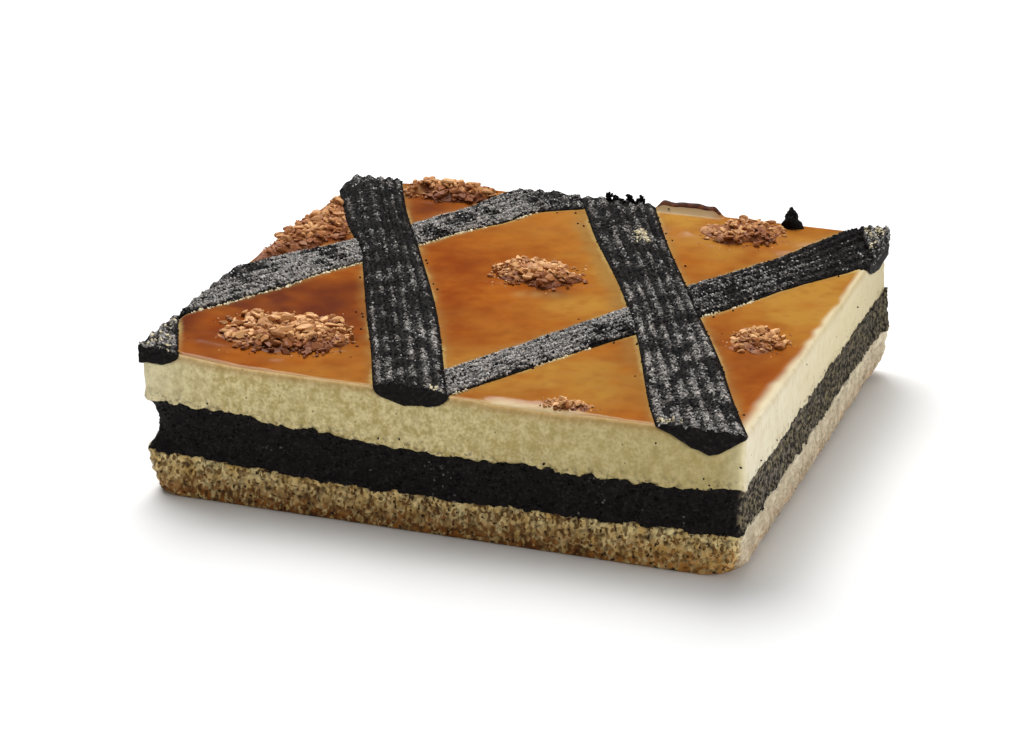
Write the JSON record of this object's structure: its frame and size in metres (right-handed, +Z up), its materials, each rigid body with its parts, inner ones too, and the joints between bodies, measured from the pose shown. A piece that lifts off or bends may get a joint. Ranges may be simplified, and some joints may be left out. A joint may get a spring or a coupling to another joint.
{
  "type": "poppy seed cheesecake",
  "caption": "Rectangular cut block of baked cheesecake on a biscuit base, with a dark poppy seed filling, a lattice of ridged poppy strips sunk in the browned top, and heaps of chopped nuts.",
  "frame": {"origin": "middle of the block's plan, on the flat underside that it stands on", "axes": "+X to the right along the long cut face, +Y from that face to the back, +Z up"},
  "size_m": [0.222, 0.204, 0.0626],
  "materials": {
    "biscuit": "baked biscuit crumb, matte and grainy",
    "poppy_filling": "ground poppy seed paste, dull black and seedy",
    "cheese": "baked curd, pale cream at the cuts and glossy amber brown on top",
    "poppy_strip": "piped poppy seed paste, black with a damp sheen",
    "nut": "roasted chopped nuts under a thin glaze"
  },
  "bodies": {
    "root": {"biscuit_base": "biscuit", "poppy_filling": "poppy_filling", "cheese_layer": "cheese", "poppy_strip_left_corner": "poppy_strip", "poppy_strip_left": "poppy_strip", "poppy_strip_right": "poppy_strip", "poppy_strip_right_corner": "poppy_strip", "poppy_strip_cross_back": "poppy_strip", "poppy_strip_cross_front": "poppy_strip", "nut_heap_middle": "nut", "nut_heap_front_left": "nut", "nut_heap_right": "nut", "nut_heap_back_right": "nut", "nut_heap_back_left": "nut", "nut_heap_front": "nut", "nut_heap_left": "nut", "poppy_lump": "poppy_strip"}
  },
  "joints": []
}
